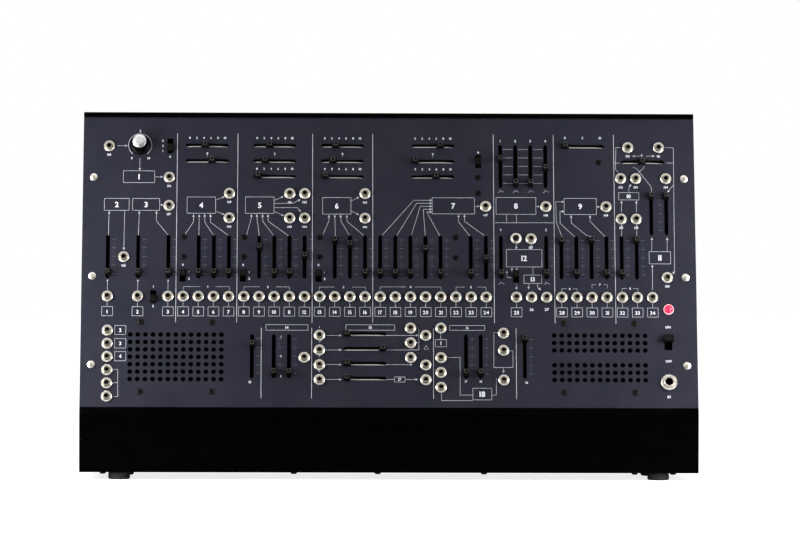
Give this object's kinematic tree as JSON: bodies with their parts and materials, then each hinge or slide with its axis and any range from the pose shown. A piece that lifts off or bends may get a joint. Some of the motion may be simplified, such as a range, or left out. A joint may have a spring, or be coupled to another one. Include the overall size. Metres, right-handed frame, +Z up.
{
  "type": "semi-modular synthesizer",
  "caption": "Compact desktop synthesizer with a leaning patch panel of sliders, mini sockets, switches, a knob and speaker holes in a black folded metal case.",
  "frame": {"origin": "on the ground under the middle of the whole instrument's box", "axes": "+X to the player's right, -Y the front that faces the player, +Z up"},
  "size_m": [0.521, 0.129, 0.311],
  "materials": {
    "slate_paint": "satin dark slate paint",
    "black_paint": "semi-gloss black paint",
    "rubber": "matt black rubber",
    "circuit_board": "green board with nickel sockets and slider bodies on it",
    "nickel": "nickel-plated",
    "black_steel": "blackened steel",
    "zinc_steel": "zinc-plated steel",
    "black_plastic": "moulded black plastic",
    "knob_plastic": "black skirt with a brushed metal cap",
    "red_lens": "clear red"
  },
  "bodies": {
    "case": {"front_panel": "slate_paint", "base_pan": "black_paint", "rear_cover": "black_paint", "left_end_panel": "black_paint", "right_end_panel": "black_paint", "front_left_foot": "rubber", "front_right_foot": "rubber", "rear_left_foot": "rubber", "rear_right_foot": "rubber", "left_control_board": "circuit_board", "right_control_board": "circuit_board", "headphone_socket": "nickel", "left_speaker": "black_steel", "right_speaker": "black_steel", "reverb_tank": "zinc_steel", "connector_board": "circuit_board", "power_lamp": "red_lens"},
    "follower_slider": {"follower_slider": "black_plastic"},
    "ring_slider_1": {"ring_slider_1": "black_plastic"},
    "ring_slider_2": {"ring_slider_2": "black_plastic"},
    "oscillator_2_slider_1": {"oscillator_2_slider_1": "black_plastic"},
    "oscillator_2_slider_4": {"oscillator_2_slider_4": "black_plastic"},
    "oscillator_3_slider_1": {"oscillator_3_slider_1": "black_plastic"},
    "oscillator_3_slider_2": {"oscillator_3_slider_2": "black_plastic"},
    "filter_slider_4": {"filter_slider_4": "black_plastic"},
    "filter_slider_7": {"filter_slider_7": "black_plastic"},
    "amplifier_slider_1": {"amplifier_slider_1": "black_plastic"},
    "amplifier_slider_3": {"amplifier_slider_3": "black_plastic"},
    "mixer_slider_2": {"mixer_slider_2": "black_plastic"},
    "left_reverb_slider": {"left_reverb_slider": "black_plastic"},
    "right_reverb_slider": {"right_reverb_slider": "black_plastic"},
    "attack_slider": {"attack_slider": "black_plastic"},
    "decay_slider": {"decay_slider": "black_plastic"},
    "sustain_slider": {"sustain_slider": "black_plastic"},
    "release_slider": {"release_slider": "black_plastic"},
    "left_speaker_slider": {"left_speaker_slider": "black_plastic"},
    "right_speaker_slider": {"right_speaker_slider": "black_plastic"},
    "oscillator_1_coarse_slider": {"oscillator_1_coarse_slider": "black_plastic"},
    "oscillator_1_fine_slider": {"oscillator_1_fine_slider": "black_plastic"},
    "oscillator_2_coarse_slider": {"oscillator_2_coarse_slider": "black_plastic"},
    "oscillator_2_fine_slider": {"oscillator_2_fine_slider": "black_plastic"},
    "oscillator_2_width_slider": {"oscillator_2_width_slider": "black_plastic"},
    "oscillator_3_coarse_slider": {"oscillator_3_coarse_slider": "black_plastic"},
    "oscillator_3_fine_slider": {"oscillator_3_fine_slider": "black_plastic"},
    "oscillator_3_width_slider": {"oscillator_3_width_slider": "black_plastic"},
    "filter_coarse_slider": {"filter_coarse_slider": "black_plastic"},
    "filter_fine_slider": {"filter_fine_slider": "black_plastic"},
    "filter_resonance_slider": {"filter_resonance_slider": "black_plastic"},
    "amplifier_gain_slider": {"amplifier_gain_slider": "black_plastic"},
    "pan_slider": {"pan_slider": "black_plastic"},
    "preamp_range_switch": {"preamp_range_switch": "black_plastic"},
    "ring_coupling_switch": {"ring_coupling_switch": "black_plastic"},
    "oscillator_1_range_switch": {"oscillator_1_range_switch": "black_plastic"},
    "oscillator_2_range_switch": {"oscillator_2_range_switch": "black_plastic"},
    "oscillator_3_range_switch": {"oscillator_3_range_switch": "black_plastic"},
    "filter_keyboard_switch": {"filter_keyboard_switch": "black_plastic"},
    "gate_switch": {"gate_switch": "black_plastic"},
    "power_switch": {"power_switch": "black_plastic"},
    "start_button": {"start_button": "black_plastic"},
    "preamp_knob": {"preamp_knob": "knob_plastic"}
  },
  "joints": [
    {"name": "follower_slider_slide", "type": "slide", "parent": "case", "child": "follower_slider", "axis": [0, 0.2419, 0.9703], "range_m": [-0.0009, 0.0291]},
    {"name": "ring_slider_1_slide", "type": "slide", "parent": "case", "child": "ring_slider_1", "axis": [0, 0.2419, 0.9703], "range_m": [-0.0009, 0.0291]},
    {"name": "ring_slider_2_slide", "type": "slide", "parent": "case", "child": "ring_slider_2", "axis": [0, 0.2419, 0.9703], "range_m": [-0.0009, 0.0291]},
    {"name": "oscillator_2_slider_1_slide", "type": "slide", "parent": "case", "child": "oscillator_2_slider_1", "axis": [0, 0.2419, 0.9703], "range_m": [-0.0231, 0.0069]},
    {"name": "oscillator_2_slider_4_slide", "type": "slide", "parent": "case", "child": "oscillator_2_slider_4", "axis": [0, 0.2419, 0.9703], "range_m": [-0.0156, 0.0144]},
    {"name": "oscillator_3_slider_1_slide", "type": "slide", "parent": "case", "child": "oscillator_3_slider_1", "axis": [0, 0.2419, 0.9703], "range_m": [-0.0294, 0.0006]},
    {"name": "oscillator_3_slider_2_slide", "type": "slide", "parent": "case", "child": "oscillator_3_slider_2", "axis": [0, 0.2419, 0.9703], "range_m": [-0.0258, 0.0042]},
    {"name": "filter_slider_4_slide", "type": "slide", "parent": "case", "child": "filter_slider_4", "axis": [0, 0.2419, 0.9703], "range_m": [-0.0216, 0.0084]},
    {"name": "filter_slider_7_slide", "type": "slide", "parent": "case", "child": "filter_slider_7", "axis": [0, 0.2419, 0.9703], "range_m": [-0.0135, 0.0165]},
    {"name": "amplifier_slider_1_slide", "type": "slide", "parent": "case", "child": "amplifier_slider_1", "axis": [0, 0.2419, 0.9703], "range_m": [-0.0294, 0.0006]},
    {"name": "amplifier_slider_3_slide", "type": "slide", "parent": "case", "child": "amplifier_slider_3", "axis": [0, 0.2419, 0.9703], "range_m": [-0.03, 0]},
    {"name": "mixer_slider_2_slide", "type": "slide", "parent": "case", "child": "mixer_slider_2", "axis": [0, 0.2419, 0.9703], "range_m": [-0.03, 0]},
    {"name": "left_reverb_slider_slide", "type": "slide", "parent": "case", "child": "left_reverb_slider", "axis": [0, 0.2419, 0.9703], "range_m": [-0.03, 0]},
    {"name": "right_reverb_slider_slide", "type": "slide", "parent": "case", "child": "right_reverb_slider", "axis": [0, 0.2419, 0.9703], "range_m": [-0.03, 0]},
    {"name": "attack_slider_slide", "type": "slide", "parent": "case", "child": "attack_slider", "axis": [0, 0.2419, 0.9703], "range_m": [-0.021, 0.009]},
    {"name": "decay_slider_slide", "type": "slide", "parent": "case", "child": "decay_slider", "axis": [0, 0.2419, 0.9703], "range_m": [0, 0.03]},
    {"name": "sustain_slider_slide", "type": "slide", "parent": "case", "child": "sustain_slider", "axis": [0, 0.2419, 0.9703], "range_m": [0, 0.03]},
    {"name": "release_slider_slide", "type": "slide", "parent": "case", "child": "release_slider", "axis": [0, 0.2419, 0.9703], "range_m": [-0.0132, 0.0168]},
    {"name": "left_speaker_slider_slide", "type": "slide", "parent": "case", "child": "left_speaker_slider", "axis": [0, 0.2419, 0.9703], "range_m": [-0.0252, 0.0048]},
    {"name": "right_speaker_slider_slide", "type": "slide", "parent": "case", "child": "right_speaker_slider", "axis": [0, 0.2419, 0.9703], "range_m": [-0.03, 0]},
    {"name": "oscillator_1_coarse_slider_slide", "type": "slide", "parent": "case", "child": "oscillator_1_coarse_slider", "axis": [1, 0, 0], "range_m": [-0.0132, 0.0168]},
    {"name": "oscillator_1_fine_slider_slide", "type": "slide", "parent": "case", "child": "oscillator_1_fine_slider", "axis": [1, 0, 0], "range_m": [-0.0192, 0.0108]},
    {"name": "oscillator_2_coarse_slider_slide", "type": "slide", "parent": "case", "child": "oscillator_2_coarse_slider", "axis": [1, 0, 0], "range_m": [-0.0108, 0.0192]},
    {"name": "oscillator_2_fine_slider_slide", "type": "slide", "parent": "case", "child": "oscillator_2_fine_slider", "axis": [1, 0, 0], "range_m": [-0.0069, 0.0231]},
    {"name": "oscillator_2_width_slider_slide", "type": "slide", "parent": "case", "child": "oscillator_2_width_slider", "axis": [1, 0, 0], "range_m": [-0.0009, 0.0291]},
    {"name": "oscillator_3_coarse_slider_slide", "type": "slide", "parent": "case", "child": "oscillator_3_coarse_slider", "axis": [1, 0, 0], "range_m": [-0.0093, 0.0207]},
    {"name": "oscillator_3_fine_slider_slide", "type": "slide", "parent": "case", "child": "oscillator_3_fine_slider", "axis": [1, 0, 0], "range_m": [-0.0069, 0.0231]},
    {"name": "oscillator_3_width_slider_slide", "type": "slide", "parent": "case", "child": "oscillator_3_width_slider", "axis": [1, 0, 0], "range_m": [-0.0006, 0.0294]},
    {"name": "filter_coarse_slider_slide", "type": "slide", "parent": "case", "child": "filter_coarse_slider", "axis": [1, 0, 0], "range_m": [-0.0213, 0.0087]},
    {"name": "filter_fine_slider_slide", "type": "slide", "parent": "case", "child": "filter_fine_slider", "axis": [1, 0, 0], "range_m": [0, 0.03]},
    {"name": "filter_resonance_slider_slide", "type": "slide", "parent": "case", "child": "filter_resonance_slider", "axis": [1, 0, 0], "range_m": [-0.0177, 0.0123]},
    {"name": "amplifier_gain_slider_slide", "type": "slide", "parent": "case", "child": "amplifier_gain_slider", "axis": [1, 0, 0], "range_m": [0, 0.03]},
    {"name": "pan_slider_slide", "type": "slide", "parent": "case", "child": "pan_slider", "axis": [1, 0, 0], "range_m": [-0.0144, 0.0156]},
    {"name": "preamp_range_switch_slide", "type": "slide", "parent": "case", "child": "preamp_range_switch", "axis": [0, 0.2419, 0.9703], "range_m": [0, 0.004]},
    {"name": "ring_coupling_switch_slide", "type": "slide", "parent": "case", "child": "ring_coupling_switch", "axis": [0, 0.2419, 0.9703], "range_m": [0, 0.004]},
    {"name": "oscillator_1_range_switch_slide", "type": "slide", "parent": "case", "child": "oscillator_1_range_switch", "axis": [0, 0.2419, 0.9703], "range_m": [-0.004, 0]},
    {"name": "oscillator_2_range_switch_slide", "type": "slide", "parent": "case", "child": "oscillator_2_range_switch", "axis": [0, 0.2419, 0.9703], "range_m": [-0.004, 0]},
    {"name": "oscillator_3_range_switch_slide", "type": "slide", "parent": "case", "child": "oscillator_3_range_switch", "axis": [0, 0.2419, 0.9703], "range_m": [-0.004, 0]},
    {"name": "filter_keyboard_switch_slide", "type": "slide", "parent": "case", "child": "filter_keyboard_switch", "axis": [0, 0.2419, 0.9703], "range_m": [-0.002, 0.002]},
    {"name": "gate_switch_slide", "type": "slide", "parent": "case", "child": "gate_switch", "axis": [0, 0.2419, 0.9703], "range_m": [-0.004, 0]},
    {"name": "power_switch_slide", "type": "slide", "parent": "case", "child": "power_switch", "axis": [0, 0.2419, 0.9703], "range_m": [-0.006, 0]},
    {"name": "start_button_press", "type": "slide", "parent": "case", "child": "start_button", "axis": [0, 0.9703, -0.2419], "range_m": [0, 0.0015], "stiffness_N_per_m": 300},
    {"name": "preamp_knob_turn", "type": "hinge", "parent": "case", "child": "preamp_knob", "pos_m": [-0.2123, -0.00687, 0.28272], "axis": [0, -0.9703, 0.2419], "range_deg": [-150, 150]}
  ]
}
